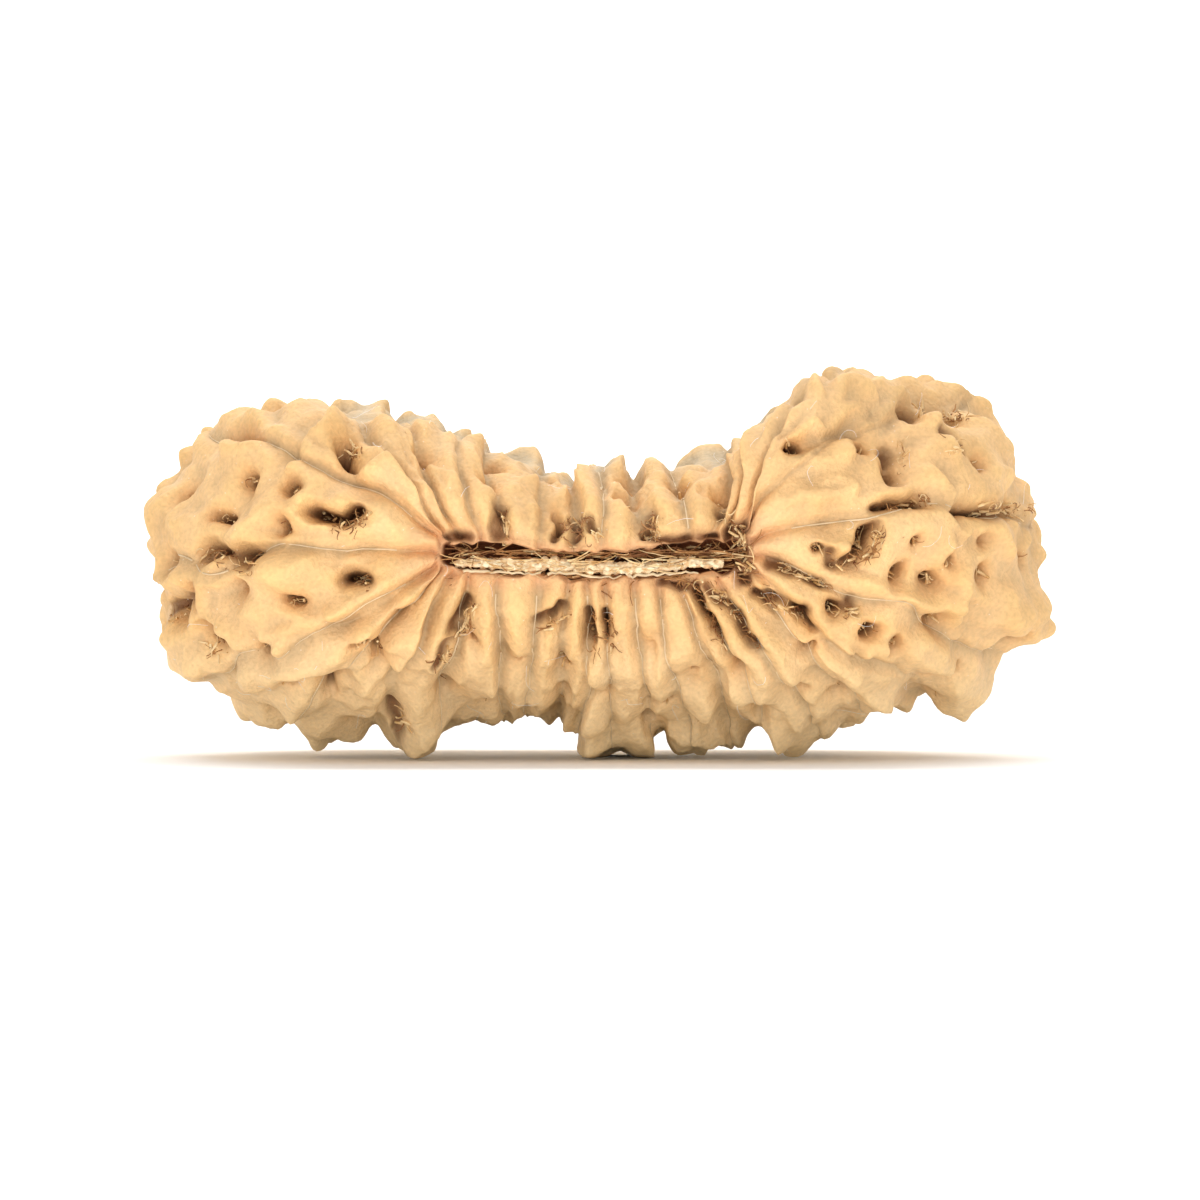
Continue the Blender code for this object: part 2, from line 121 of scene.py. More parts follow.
# Warts, crests and folds of the front, as strokes: pixels, half width, and height in millimetres.
WARTS = (
    (245, 412, 250, 414, 11, 0.7), (276, 400, 284, 402, 11, 0.8), (306, 398, 310, 398, 10, 0.7),
    (330, 398, 332, 402, 9, 0.6), (352, 404, 352, 404, 9, 0.7), (388, 410, 388, 410, 9, 0.6),
    (412, 408, 412, 408, 9, 0.6), (437, 420, 437, 420, 9, 0.6), (217, 432, 217, 432, 10, 0.7),
    (188, 460, 188, 460, 11, 0.8), (174, 488, 174, 488, 11, 0.7), (156, 545, 156, 545, 11, 0.6),
    (350, 425, 335, 437, 8, 0.7), (265, 425, 290, 435, 9, 0.5), (240, 452, 268, 447, 8, 0.5),
    (300, 470, 330, 480, 9, 0.5), (420, 577, 380, 602, 10, 0.7), (380, 602, 345, 613, 10, 0.7),
    (250, 572, 300, 572, 11, 0.4), (178, 590, 178, 590, 10, 0.6), (215, 660, 215, 660, 11, 0.6),
    (240, 683, 240, 683, 11, 0.4), (268, 714, 268, 714, 11, 0.4), (302, 705, 302, 705, 10, 0.5),
    (330, 728, 330, 728, 11, 0.7), (300, 655, 300, 655, 11, 0.4), (330, 690, 330, 690, 9, 0.4),
    (375, 690, 375, 690, 10, 0.5), (500, 585, 504, 610, 8, 0.5), (504, 610, 484, 636, 8, 0.5),
    (925, 380, 929, 382, 12, 1.0), (902, 378, 902, 378, 9, 0.6), (838, 382, 840, 380, 9, 0.8),
    (853, 380, 853, 380, 9, 0.7), (805, 392, 815, 402, 10, 0.8), (790, 420, 790, 422, 10, 0.7),
    (767, 430, 765, 432, 10, 0.7), (868, 402, 868, 402, 10, 0.6), (905, 400, 884, 412, 8, 0.6),
    (958, 398, 984, 408, 11, 0.8), (832, 545, 846, 546, 11, 0.8), (765, 515, 800, 503, 8, 0.5),
    (800, 503, 850, 490, 8, 0.5), (762, 482, 800, 466, 8, 0.5), (800, 466, 850, 458, 8, 0.5),
    (960, 500, 960, 500, 9, 0.4), (962, 618, 950, 604, 9, 0.6), (1010, 480, 1010, 480, 11, 0.6),
    (930, 643, 950, 643, 9, 0.5), (1000, 604, 1000, 604, 11, 0.5), (1040, 486, 1040, 486, 11, 0.7),
    (1044, 556, 1044, 556, 11, 0.6), (1030, 622, 1030, 622, 10, 0.7), (985, 670, 985, 670, 11, 0.6),
    (960, 690, 960, 690, 11, 0.7), (905, 700, 905, 700, 10, 0.6), (870, 712, 870, 712, 10, 0.6),
    (692, 450, 722, 450, 12, 0.6), (567, 468, 567, 468, 9, 0.4), (625, 464, 625, 464, 9, 0.5),
    (657, 466, 657, 466, 9, 0.4),
)

# Soft ridges that edge the flaps and pits of the knobs: half width, height in millimetres, and pixels.
RIDGES = (
    (8, 0.35, (455, 544), (423, 525), (392, 513)), (8, 0.4, (457, 552), (421, 564), (380, 569)),
    (6, 0.4, (375, 532), (348, 535), (324, 527), (314, 515)), (8, 0.4, (389, 508), (353, 496)),
    (6, 0.3, (256, 530), (285, 515), (314, 510)), (6, 0.35, (242, 540), (280, 537), (305, 540)),
    (7, 0.35, (237, 445), (271, 448), (280, 460)), (8, 0.3, (237, 428), (280, 433), (302, 445)),
    (7, 0.4, (314, 455), (339, 428), (360, 426)), (8, 0.45, (377, 474), (402, 469), (433, 494)),
    (7, 0.45, (443, 474), (457, 484), (465, 506)), (7, 0.5, (389, 431), (409, 443), (428, 467)),
    (7, 0.45, (341, 632), (353, 646), (387, 627), (438, 583)), (6, 0.45, (402, 649), (435, 612), (457, 588)),
    (6, 0.45, (365, 668), (399, 658), (428, 658), (450, 632)), (8, 0.3, (280, 639), (319, 624), (336, 634)),
    (8, 0.35, (249, 690), (290, 673), (319, 663), (341, 670)), (8, 0.3, (314, 709), (343, 695), (363, 704)),
    (7, 0.35, (208, 612), (205, 583), (239, 576), (290, 571)), (9, 0.4, (154, 603), (167, 578), (196, 578)),
    (7, 0.35, (188, 637), (205, 620), (244, 632), (246, 649)), (8, 0.35, (348, 673), (367, 670), (389, 692)),
    (7, 0.35, (760, 472), (798, 459), (847, 449), (862, 439)), (6, 0.45, (763, 515), (806, 505), (831, 490)),
    (8, 0.4, (877, 500), (908, 484), (935, 477), (958, 497)), (8, 0.35, (958, 497), (1000, 503), (1040, 512)),
    (8, 0.4, (859, 426), (872, 416), (897, 413), (928, 429)), (7, 0.4, (928, 429), (946, 449)),
    (7, 0.4, (897, 406), (913, 393), (918, 406)), (8, 0.4, (930, 393), (963, 385), (974, 401)),
    (7, 0.3, (877, 520), (913, 512), (951, 512), (953, 548)), (7, 0.35, (956, 517), (971, 538), (1001, 522)),
    (7, 0.4, (842, 571), (877, 583), (918, 604), (961, 616)), (6, 0.4, (768, 558), (811, 578), (852, 609)),
    (6, 0.4, (852, 609), (892, 660), (923, 680)), (8, 0.3, (923, 680), (948, 642), (963, 634)),
    (6, 0.45, (750, 566), (786, 609), (824, 629), (847, 654)), (7, 0.4, (735, 604), (768, 634), (793, 680)),
    (8, 0.35, (862, 660), (887, 682), (908, 680)), (9, 0.35, (948, 660), (979, 672), (996, 649)),
    (9, 0.35, (1001, 621), (1027, 634), (1037, 614)), (8, 0.35, (979, 596), (1004, 609), (1017, 599)),
    (8, 0.45, (771, 451), (786, 418), (804, 413)), (6, 0.35, (786, 446), (809, 431), (821, 441)),
    (6, 0.4, (834, 411), (847, 393), (857, 406)), (6, 0.4, (834, 436), (844, 416), (864, 408)),
    (7, 0.4, (798, 398), (809, 385), (824, 398)), (8, 0.4, (875, 398), (908, 375), (910, 388)),
)

# Where the flesh stayed thickest on the front, as strokes: pixels, half width, number of strands, and the
# share of them that is straw coloured.
NESTS = (
    (462, 541, 480, 549, 4, 30, 0.2), (508, 508, 505, 536, 5, 30, 0.5), (566, 515, 566, 538, 3, 16, 0.1),
    (584, 518, 585, 538, 4, 18, 0.1), (596, 524, 599, 534, 3, 8, 1.0), (652, 510, 656, 540, 4, 30, 0.4),
    (665, 548, 720, 543, 4, 50, 0.1), (722, 508, 738, 530, 5, 26, 0.8), (735, 530, 743, 566, 7, 70, 0.6),
    (672, 572, 700, 580, 4, 34, 0.3), (694, 582, 722, 640, 4, 80, 0.2), (710, 582, 735, 610, 4, 40, 0.5),
    (735, 610, 760, 645, 4, 36, 0.2), (548, 622, 572, 608, 4, 26, 0.7), (478, 600, 462, 630, 4, 34, 0.5),
    (455, 640, 440, 655, 4, 22, 0.4), (594, 615, 595, 645, 3, 16, 0.1), (613, 612, 614, 645, 4, 26, 0.1),
    (208, 549, 264, 562, 7, 60, 0.4), (328, 513, 350, 525, 5, 30, 0.3), (350, 525, 374, 512, 5, 34, 0.3),
    (176, 618, 194, 606, 5, 20, 0.4), (218, 634, 228, 648, 7, 26, 0.3), (362, 577, 376, 577, 6, 22, 0.6),
    (880, 508, 922, 498, 4, 46, 0.2), (973, 507, 1026, 511, 5, 60, 0.4), (772, 562, 824, 582, 4, 60, 0.5),
    (848, 556, 868, 548, 5, 34, 0.2), (868, 548, 874, 530, 5, 34, 0.2), (826, 550, 836, 562, 4, 14, 0.6),
    (760, 596, 800, 610, 4, 46, 0.4), (830, 607, 848, 604, 5, 24, 0.6),
    (916, 410, 916, 420, 5, 14, 0.9), (945, 422, 962, 416, 7, 34, 0.6), (940, 440, 956, 448, 5, 16, 0.7),
    (896, 445, 898, 472, 5, 18, 0.6), (404, 704, 410, 718, 4, 8, 0.9), (355, 442, 362, 456, 6, 26, 0.5),
)

# The low lobes that it rests on, then the other swells and dips of its outline: turn among the furrows, way
# from slit to slit where each starts and ends, half width, and height in millimetres.
SWELLS = (
    (4.6, 0.38, 0.46, 1.2, 1.7), (9.75, 0.40, 0.58, 0.8, 1.5), (10.6, 0.42, 0.60, 0.85, 1.5),
    (14.4, 0.38, 0.46, 1.15, 1.65), (11.9, 0.42, 0.48, 0.8, 1.1), (3.3, 0.44, 0.50, 1.2, 0.8),
    (5.9, 0.44, 0.50, 0.7, 0.6), (17.3, 0.45, 0.52, 1.1, 1.1), (1.75, 0.45, 0.52, 1.3, 1.0),
    (18.35, 0.42, 0.54, 1.1, 1.0), (13.0, 0.44, 0.50, 0.7, 0.7), (7.0, 0.44, 0.50, 0.6, 0.4),
    (31.8, 0.42, 0.52, 1.1, -0.6), (29.5, 0.42, 0.52, 1.0, -0.5), (27.0, 0.42, 0.52, 0.9, -0.4),
    (24.8, 0.42, 0.52, 0.9, -0.4), (21.5, 0.42, 0.52, 1.0, -0.5),
    (19.6, 0.44, 0.54, 1.2, 0.4), (0.55, 0.44, 0.54, 1.2, 0.4),
)

# The form without relief, as in the solid: a rounded section from slit to slit, fuller on the knobs than at
# the waist. A knob is where the rim lies this far from the slit. The bead leans back on its low lobes.
KNOB_BULGE = 1.8
WAIST_REACH, KNOB_REACH = 6.0, 10.0
FULLNESS = 2.2
TIPPED_BACK = math.radians(1.5)

# The relief: how far the form is drawn in first, and how far lobes, the net between the pits and the pits go
# out and in. Warts fade on lobes narrower than a plain one, and pits on lobes narrower than a closed one.
SUNK = 0.75
LOBE_RISE, LOBE_EASE, LOBE_FADE = 1.6, 1.0, 0.9
LOBE_SKEW = 0.2
FURROW_WANDER = 0.22
NET_RISE, NET_EASE = 0.6, 0.6
PIT_DEPTH = 1.3
PLAIN_LOBE, CLOSED_LOBE = 1.3, 0.8
FLAP_LEAN = 0.45
WART_ROUNDNESS, SWELL_ROUNDNESS = 2.6, 2.0
NEST_DEPTH = 0.6
CREASE_DEPTH, CREASE_WIDTH = 0.1, 0.13

# The unevenness of growth, as how far it goes out and in and how far apart its swells lie: ridges that run
# from slit to slit, broad, small and fine swells, and the sharp crests of the knobs and of the waist.
RIDGE_RISE, RIDGE_SIZE = 0.7, 1.5
BROAD_RISE, BROAD_SIZE = 0.4, 2.0
SMALL_RISE, SMALL_SIZE = 0.12, 0.7
FINE_RISE, FINE_SIZE = 0.03, 0.3
KNOB_CREST, KNOB_CREST_SIZE = 0.4, 1.7
WAIST_CREST, WAIST_CREST_SIZE = 0.25, 0.9

# What is strewn: spacing, how many places are tried, way from slit to slit, half widths and heights.
PIT_SPACING, WART_SPACING = 2.3, 1.7
PIT_TRIES, WART_TRIES = 3000, 5000
STREWN_FROM, STREWN_TO = 0.16, 0.9
PIT_HALF_WIDTHS = (0.2, 0.42)
WART_HALF_WIDTHS = (0.5, 0.85)
WART_HEIGHTS = (0.2, 0.6)
SEED = 21


def front_view(points):
    """Pixels of the photograph as X and Z over the resting plane."""
    pixels = np.asarray(points, float)
    return np.stack([pixels[..., 0] - PHOTO_SIZE / 2, RESTING_ROW - pixels[..., 1]], axis=-1) * PIXEL


def round_the_bead(table, turn):
    """A smooth closed curve through the rows of table; turn counts furrows."""
    row = np.floor(turn).astype(int)
    part = (turn - row)[:, None]
    before, here, after, beyond = (table[(row + step) % len(table)] for step in (-1, 0, 1, 2))
    bend = 3 * (here - after) + beyond - before
    ease = 2 * before - 5 * here + 4 * after - beyond + part * bend
    return here + 0.5 * part * (after - before + part * ease)


# The slit behind isn't seen. It is the one in front over again, a little shorter.
BACK_SLIT_SHARE = 0.85
furrow_points = front_view(FURROWS)
slit_front, halfway, rim_points = furrow_points[:, 0], furrow_points[:, 1], furrow_points[:, 2]
slit_centre = front_view(((SLIT_LEFT + SLIT_RIGHT) / 2, SLIT_ROW))
slit_back = slit_centre + BACK_SLIT_SHARE * (slit_front - slit_centre)


def across(turn, reach, back):
    """X and Z of a point on the meridian at turn; reach is 0 at the slit and 1 at the rim."""
    slit = np.where(back[:, None], round_the_bead(slit_back, turn), round_the_bead(slit_front, turn))
    rim = round_the_bead(rim_points, turn)
    bend = 2 * round_the_bead(halfway, turn) - (round_the_bead(slit_front, turn) + rim) / 2
    near = (1 - reach)[:, None]
    far = reach[:, None]
    return near * near * slit + 2 * near * far * bend + far * far * rim


def reach_of(along):
    """How far out a point is, from 0 at either slit to 1 at the rim halfway between them."""
    return np.sin(along * math.pi).clip(0, 1) ** (2 / FULLNESS)


def lobe_gap(turn, along):
    """From the furrow on one side of a point to the furrow on its other side, as X and Z."""
    left = np.floor(turn)
    return across(left + 1, reach_of(along), along > 0.5) - across(left, reach_of(along), along > 0.5)


def lobe_width(turn, along):
    """The distance between the furrows on both sides of a point."""
    return np.linalg.norm(lobe_gap(turn, along), axis=1)


def knob_share(turn):
    """0 at the waist and 1 where the rim is far from the slit, as on the knobs."""
    spread = np.linalg.norm(round_the_bead(rim_points, turn) - round_the_bead(slit_front, turn), axis=1)
    share = np.clip((spread - WAIST_REACH) / (KNOB_REACH - WAIST_REACH), 0, 1)
    return share * share * (3 - 2 * share)


def bare_surface(turn, along):
    """The bead without relief. along is 0 at the front lips, 0.5 at the rim and 1 at the back lips."""
    reach = reach_of(along)
    pole = np.abs(np.cos(along * math.pi)) ** (2 / FULLNESS)
    depth = LIP_TO_LIP / 2 * pole + KNOB_BULGE * knob_share(turn) * reach * (1 - reach * reach)
    flat = across(turn, reach, along > 0.5)
    return np.stack([flat[:, 0], np.where(along > 0.5, depth, -depth), flat[:, 1]], axis=1)


def rimwards(turn, along):
    """The direction along the surface from the nearer slit to the rim."""
    step = np.where(along > 0.5, -0.01, 0.01)
    run = bare_surface(turn, along + step) - bare_surface(turn, along)
    return run / np.linalg.norm(run, axis=1)[:, None]


def even_turns(count):
    """Turns that space the columns evenly, both halfway out and at the rim."""
    fine = np.linspace(0, len(FURROWS), 4000, endpoint=False)
    steps = 0
    for along in (0.2, 0.5):
        loop = bare_surface(fine, np.full(len(fine), along))
        steps = steps + np.linalg.norm(np.roll(loop, -1, axis=0) - loop, axis=1)
    travelled = np.concatenate([[0], np.cumsum(steps)])
    return np.interp(np.arange(count) / count * travelled[-1], travelled, np.append(fine, len(FURROWS)))


# Points of the bare front face, among which a pixel's place is looked up.
FACE_COLUMNS, FACE_RINGS = 400, 70
face_turn = np.repeat(even_turns(FACE_COLUMNS), FACE_RINGS)
face_along = np.tile(np.linspace(0.01, 0.5, FACE_RINGS), FACE_COLUMNS)
face = bare_surface(face_turn, face_along)


def on_the_front(x, y):
    """The turn and the way from slit to rim of the point of the front face that is seen at a pixel."""
    nearest = np.argmin(((face[:, ::2] - front_view((x, y))) ** 2).sum(axis=1))
    return face_turn[nearest], face_along[nearest]


def spot(turn, along):
    """The point of the bare surface at one place."""
    return bare_surface(np.array([turn]), np.array([along]))[0]


def strewn(draw, taken, spacing, tries):
    """Places strewn over the bead beyond the front's middle, none closer together than the spacing."""
    taken = list(taken)
    places = []
    turns = even_turns(2000)
    for _ in range(tries):
        turn = turns[draw.randrange(len(turns))]
        along = draw.uniform(STREWN_FROM, STREWN_TO)
        point = spot(turn, along)
        width = lobe_width(np.array([turn]), np.array([along]))[0]
        room = spacing * (0.65 + 0.35 * min(1.0, width / 2))
        if np.linalg.norm(np.array(taken) - point, axis=1).min() > room:
            taken.append(point)
            places.append((turn, along))
    return places


# Every stroke gets its ends on the bare surface, and then the rest of the bead is strewn with pits and warts.
draw = random.Random(SEED)
noise.seed_set(SEED)
nests = []
for x0, y0, x1, y1, half_width, _, _ in NESTS:
    nests.append((spot(*on_the_front(x0, y0)), spot(*on_the_front(x1, y1)), half_width * PIXEL))
pits = []
for x0, y0, x1, y1, half_width in PITS:
    start, end = on_the_front(x0, y0), on_the_front(x1, y1)
    pits.append((spot(*start), spot(*end), half_width * PIXEL, start))
warts = []
for x0, y0, x1, y1, half_width, height in WARTS:
    start, end = on_the_front(x0, y0), on_the_front(x1, y1)
    warts.append((spot(*start), spot(*end), half_width * PIXEL, start, height))
placed = [end for stroke in pits + warts for end in stroke[:2]]
for place in strewn(draw, placed, PIT_SPACING, PIT_TRIES):
    pits.append((spot(*place), spot(*place), draw.uniform(*PIT_HALF_WIDTHS), place))
placed = [end for stroke in pits + warts for end in stroke[:2]]
for place in strewn(draw, placed, WART_SPACING, WART_TRIES):
    half_width = draw.uniform(*WART_HALF_WIDTHS)
    warts.append((spot(*place), spot(*place), half_width, place, draw.uniform(*WART_HEIGHTS)))
for turn, along_start, along_end, half_width, height in SWELLS:
    warts.append((spot(turn, along_start), spot(turn, along_end), half_width, (turn, along_start), height))


def swirl(points, size):
    """Smooth noise vectors for all points, with swells of about this size."""
    return np.array([noise.noise_vector(Vector(point / size)) for point in points])


def crests(points, size):
    """Noise with sharp crests that adds about nothing on the whole."""
    return 0.25 - np.abs(swirl(points, size)[:, 2])


def from_stroke(points, start, end):
    """The offset of each point from the nearest point of the stroke between start and end."""
    run = end - start
    share = np.clip(((points - start) @ run) / max(run @ run, 1e-9), 0, 1)
    return points - start - share[:, None] * run


# A grid is wrapped into meridians from slit to slit, and its outer rings become the groove of each slit. The
# groove's rings, from its bottom up, lie at these shares of its half width and depths in millimetres.
COLUMNS, RINGS = 860, 320
SLIT_STEPS = ((0.0, 1.25), (0.45, 1.2), (0.66, 1.1), (0.88, 0.9), (1.0, 0.3))
slit_rings = len(SLIT_STEPS)
ring = np.repeat(np.arange(RINGS + 1), COLUMNS)
turn = np.tile(even_turns(COLUMNS), RINGS + 1)
from_pole = np.minimum(ring, RINGS - ring)
along = ((ring - slit_rings) / (RINGS - 2 * slit_rings)).clip(0, 1)
# Rings lie closer together on the front half, which shows the finest relief.
along = along + 0.15 * along * (along - 1)
inside = from_pole < slit_rings

bare = bare_surface(turn, along)
points = bare.copy()
share, depth = (np.array(values)[from_pole[inside]] for values in zip(*SLIT_STEPS))
lip = bare[inside]
middle = lip.copy()
middle[:, 0] = np.clip(lip[:, 0], *front_view(((SLIT_LEFT, SLIT_ROW), (SLIT_RIGHT, SLIT_ROW)))[:, 0])
middle[:, 2] = slit_centre[1]
points[inside] = middle + share[:, None] * (lip - middle)
points[inside, 1] -= np.sign(lip[:, 1]) * (depth + SUNK)
pole = from_pole == 0
points[pole, 0] = slit_centre[0]


def as_grid(values):
    """Values of all points of the grid, as rings of columns."""
    return values.reshape(RINGS + 1, COLUMNS, -1)


def blurred(values, reach):
    """Grid values averaged over a square of this reach in columns and rings."""
    grid = as_grid(values)[:, :, 0]
    across_columns = sum(np.roll(grid, step, axis=1) for step in range(-reach, reach + 1))
    padded = np.pad(across_columns, ((reach, reach), (0, 0)), mode="edge")
    summed = sum(padded[step : step + RINGS + 1] for step in range(2 * reach + 1))
    return (summed / (2 * reach + 1) ** 2).ravel()


sideways = np.roll(as_grid(bare), -1, axis=1) - np.roll(as_grid(bare), 1, axis=1)
normals = np.cross(sideways, np.gradient(as_grid(bare), axis=0)).reshape(-1, 3)
normals /= np.linalg.norm(normals, axis=1)[:, None] + 1e-9
if (normals * (bare - bare.mean(axis=0))).sum() < 0:
    normals = -normals

# Lobes swell between the furrows and lap over each other towards the waist, with a crease along each furrow.
width = lobe_width(turn, along)
wandering = (turn + FURROW_WANDER * swirl(bare, 2.8)[:, 1]) % len(FURROWS)
towards_waist = -np.clip(bare[:, 0] / 8, -1, 1) * lobe_gap(wandering, along)[:, 0] / (width + 1e-6)
part = (wandering - np.floor(wandering)).clip(1e-6, 1)
part = part ** (math.log(0.5) / np.log(0.5 + LOBE_SKEW * towards_waist))
from_furrow = 2 * np.minimum(part, 1 - part)
to_furrow = from_furrow * width / 2
lobe = LOBE_RISE * width / (1 + LOBE_EASE * width + LOBE_FADE * width**2)
lobe *= 1 - (1 - from_furrow) ** (1.6 + 0.5 * width)

# Noise that is drawn out from slit to slit gives ridges. In its own space each lobe is this wide, and the way
# from slit to slit this long, so the ridges are narrower where the lobes are.
LOBE_SPAN, WAY_SPAN = 2.6, 12
angle = turn * 2 * math.pi / len(FURROWS)
around = len(FURROWS) * LOBE_SPAN / (2 * math.pi)
flowing = np.stack([around * np.cos(angle), around * np.sin(angle), along * WAY_SPAN], axis=1)
flow = swirl(flowing, RIDGE_SIZE)

# Pits sink steeply between soft ridges, and warts lean like flaps away from the slit. Their outlines are
# uneven, because they are measured from points that noise has moved.
moved = bare + 0.35 * swirl(bare, 1.6) + 0.1 * swirl(bare, 0.5)
from_pit = np.full(len(points), BEAD_LENGTH)
carved = np.zeros(len(points))
pit_floors = []
for start, end, half_width, _ in pits:
    distance = np.linalg.norm(from_stroke(moved, start, end), axis=1)
    pit_floors.append(np.nonzero(distance < 0.8 * half_width)[0])
    from_pit = np.minimum(from_pit, distance - half_width)
    sink = min(1.0, half_width / 0.3)
    carved = np.maximum(carved, sink / (1 + (distance / (0.85 * half_width)) ** 6))
sunken = np.zeros(len(points))
for start, end, half_width in nests:
    distance = np.linalg.norm(from_stroke(moved, start, end), axis=1)
    sunken = np.maximum(sunken, 1 / (1 + (distance / (1.3 * half_width)) ** 4))
raised = np.zeros(len(points))
swollen = np.zeros(len(points))
for number, (start, end, half_width, place, height) in enumerate(warts):
    reach = 3 * half_width + np.linalg.norm(end - start) / 2
    near = np.nonzero(((moved - (start + end) / 2) ** 2).sum(axis=1) < reach**2)[0]
    offset = from_stroke(moved[near], start, end) / half_width
    ahead = offset @ rimwards(np.array([place[0]]), np.array([place[1]]))[0]
    aside = (offset**2).sum(axis=1) - ahead**2
    ahead = np.where(ahead > 0, ahead / 0.8, ahead / 1.6)
    squared = np.maximum(aside + ahead**2, 0)
    if number < len(warts) - len(SWELLS):
        raised[near] += (height * np.exp(-(squared ** (WART_ROUNDNESS / 2)))) ** 3
    else:
        swollen[near] += (height * np.exp(-(squared ** (SWELL_ROUNDNESS / 2)))) ** 3
for half_width, height, *corners in RIDGES:
    spots = [spot(*on_the_front(x, y)) for x, y in corners]
    distance = np.min(
        [np.linalg.norm(from_stroke(moved, *ends), axis=1) for ends in zip(spots, spots[1:])], axis=0
    )
    raised += (height * np.exp(-((distance / (half_width * PIXEL)) ** WART_ROUNDNESS))) ** 3
raised = np.cbrt(raised) * (1 - carved)
swollen = np.cbrt(swollen)
net = NET_RISE * (1 - np.exp(-np.maximum(from_pit, 0) / NET_EASE))
reach = reach_of(along)
room = np.clip(width / PLAIN_LOBE, 0, 1) * np.clip(reach * 3 - 0.3, 0, 1)
carved *= np.clip(width / CLOSED_LOBE, 0, 1)
soft = blurred(lobe + swollen + (net + raised) * room, 2)
crease = CREASE_DEPTH * np.exp(-((to_furrow / CREASE_WIDTH) ** 2))

# Growth is most uneven on the knobs, and the waist is finely ridged.
knobby = knob_share(turn)
calm = 0.45 + 0.55 * knobby
off_the_lips = np.clip(reach * 3 - 0.2, 0, 1)
swell = (RIDGE_RISE * flow[:, 0] - RIDGE_RISE * np.abs(flow[:, 1])) * off_the_lips * calm
broad = BROAD_RISE * swirl(bare, BROAD_SIZE)[:, 0] * calm
swell += broad + SMALL_RISE * swirl(bare, SMALL_SIZE)[:, 1] + FINE_RISE * swirl(bare, FINE_SIZE)[:, 2]
swell += KNOB_CREST * crests(bare, KNOB_CREST_SIZE) * calm
swell += WAIST_CREST * crests(flowing, WAIST_CREST_SIZE) * (1.1 - knobby) * off_the_lips

# The relief goes out along the normals, and fades at the lips of the slits, which are torn and ragged.
from_lip = np.clip((from_pole - slit_rings) / 2, 0, 1)
rise = (soft + swell - crease - PIT_DEPTH * carved - NEST_DEPTH * sunken) * from_lip - SUNK
lean = (FLAP_LEAN * raised * room * from_lip * np.clip(np.abs(along - 0.5) * 8, 0, 1))[:, None]
outside = ~inside
points[outside] += (normals * rise[:, None] + rimwards(turn, along) * lean)[outside]
uneven = 0.06 + 0.12 * np.clip(swollen, 0, 1)
points[outside] += (uneven[:, None] * swirl(points, 0.8))[outside]
torn = np.exp(-(((from_pole - slit_rings) / 5) ** 2))[:, None] * swirl(bare, 0.5)
points += torn * np.array([0.25, 0.15, 0.25])

# The whole bead leans back round its length.
cosine, sine = math.cos(TIPPED_BACK), math.sin(TIPPED_BACK)
tipped = points.copy()
tipped[:, 1] = cosine * points[:, 1] + sine * points[:, 2]
tipped[:, 2] = cosine * points[:, 2] - sine * points[:, 1]
points = tipped

# The lobes that it rests on are worn round, not cut off.
WORN = 0.2
low_down = points[:, 2] < WORN
points[low_down, 2] = WORN * np.exp((points[low_down, 2] - WORN) / WORN)

# It takes the length, the depth and the place of the solid that it stands for.
low, high = points.min(axis=0), points.max(axis=0)
box_low, box_high = (np.array(corner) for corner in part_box("rudraksha_bead"))
to_metres = (box_high[0] - box_low[0]) / (high[0] - low[0])
points = (points - (low + high) / 2) * to_metres + (box_low + box_high) / 2
points[:, 2] += box_low[2] - points[:, 2].min()
points[:, 1] *= (box_high[1] - box_low[1]) / (points[:, 1].max() - points[:, 1].min())
points[:, 1] += (box_low[1] + box_high[1] - points[:, 1].min() - points[:, 1].max()) / 2


# What the wood's colours follow at each point. Painted shade falls deep in pits, in the slit's groove, along
# the furrows, in low hollows, over the upper waist and where dried flesh lies in the nests; a painted
# highlight lies on proud crests. Round the pits the wood is more orange, its own tone with painted shade.
# Near a slit it is pinker.
# The low side is painted paler, as painted light under the bead, up to a height in metres. A point is fully
# proud when it stands this far over what surrounds it.
UNDERSIDE_LIGHT_HEIGHT = 0.005
FULLY_PROUD = 0.25
proud = rise - blurred(rise, 7)
fields = {
    # Painted shade: the deeper in a pit, the darker.
    "pit": carved,
    # Orange round the pits: the wood's own warmer tone there, with painted shade of the pit's rim.
    "near_pit": np.clip(1 - from_pit / 0.5, 0, 1) * room,
    # Painted shade where dried flesh lies in the nests.
    "nest_shade": sunken,
    # Painted shade: the upper waist greyer and darker.
    "upper_waist_shade": np.clip(along * 6 - 1.6, 0, 1) * (1 - knobby) * (bare[:, 2] > slit_centre[1]),
    # Painted highlight on crests that stand proud.
    "proud": np.clip(proud / FULLY_PROUD, 0, 1),
    # Painted shade in low hollows.
    "low": np.clip(-proud / FULLY_PROUD, 0, 1),
    # Painted shade along the furrows.
    "furrow": np.exp(-((to_furrow / 0.16) ** 2)) * np.clip(reach * 4 - 0.4, 0, 1),
    "lips": np.clip(1 - (from_pole - slit_rings) / 14, 0, 1),
    # Painted shade in the slit's groove.
    "groove": inside.astype(float),
    # Painted light: the low side paler, standing in for light under the bead.
    "underside_light": np.clip(1.1 - (points[:, 2] - box_low[2]) / UNDERSIDE_LIGHT_HEIGHT, 0, 1),
}
bpy.ops.object.select_all(action="DESELECT")
bpy.ops.mesh.primitive_grid_add(x_subdivisions=COLUMNS, y_subdivisions=RINGS, size=2)
stone = bpy.context.object
stone.name = "bead_stone"
mesh = stone.data


def closed_round(values):
    """Grid values with the first column repeated after the last, as the grid's vertices need them."""
    grid = as_grid(values)
    return np.concatenate([grid, grid[:, :1]], axis=1).ravel()


